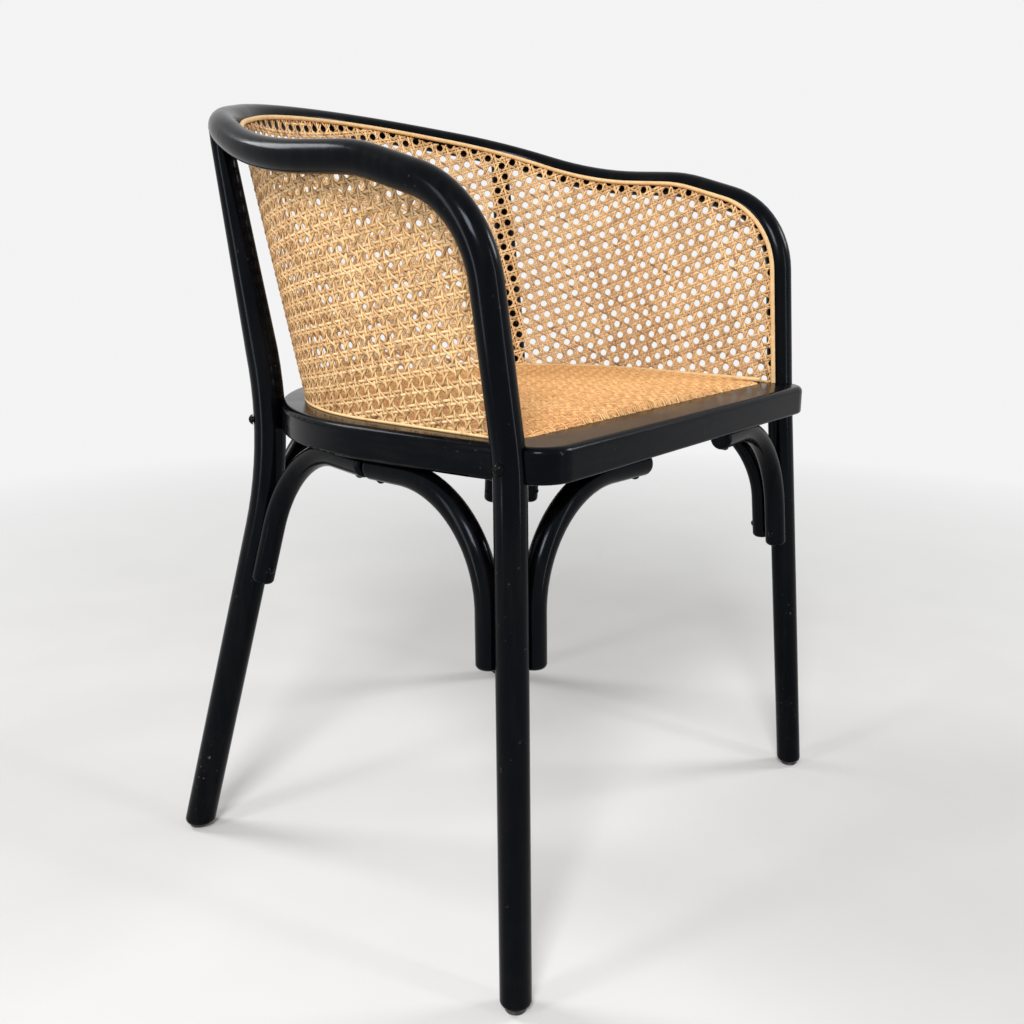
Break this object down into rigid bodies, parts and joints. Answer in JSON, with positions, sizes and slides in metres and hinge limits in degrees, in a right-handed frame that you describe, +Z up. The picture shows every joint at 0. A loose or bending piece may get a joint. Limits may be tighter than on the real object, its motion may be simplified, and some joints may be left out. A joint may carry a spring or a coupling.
{
  "type": "cane dining armchair",
  "caption": "Black bentwood armchair with a wrap-around open cane back, a close-woven cane seat and curved braces.",
  "frame": {"origin": "on the floor, below the middle of the chair's bounding box", "axes": "+Z up, the chair's front towards -Y, the sitter's right towards -X"},
  "size_m": [0.5638, 0.5324, 0.76],
  "materials": {
    "black_lacquer": "satin black lacquer",
    "open_cane": "natural open cane webbing",
    "woven_cane": "natural close-woven cane",
    "reed": "natural reed",
    "plywood": "raw plywood",
    "beech": "raw beech",
    "dark_steel": "blackened",
    "zinc_steel": "zinc plated",
    "glide_plastic": "matte black"
  },
  "bodies": {
    "root": {"arm_back_hoop": "black_lacquer", "rear_leg_right": "black_lacquer", "rear_leg_left": "black_lacquer", "seat_frame": "black_lacquer", "front_side_brace_right": "black_lacquer", "front_side_brace_left": "black_lacquer", "front_brace_right": "black_lacquer", "front_brace_left": "black_lacquer", "rear_side_brace_right": "black_lacquer", "rear_side_brace_left": "black_lacquer", "rear_brace_right": "black_lacquer", "rear_brace_left": "black_lacquer", "cane_back": "open_cane", "seat_cane": "woven_cane", "rail_spline": "reed", "base_spline": "reed", "seat_board": "plywood", "rail_dowels": "beech", "front_leg_screws": "dark_steel", "rear_leg_bolts": "dark_steel", "brace_screws": "dark_steel", "rear_bolt_washers": "zinc_steel", "rear_bolt_nuts": "zinc_steel", "seat_board_screws": "zinc_steel", "foot_glides": "glide_plastic"}
  },
  "joints": []
}
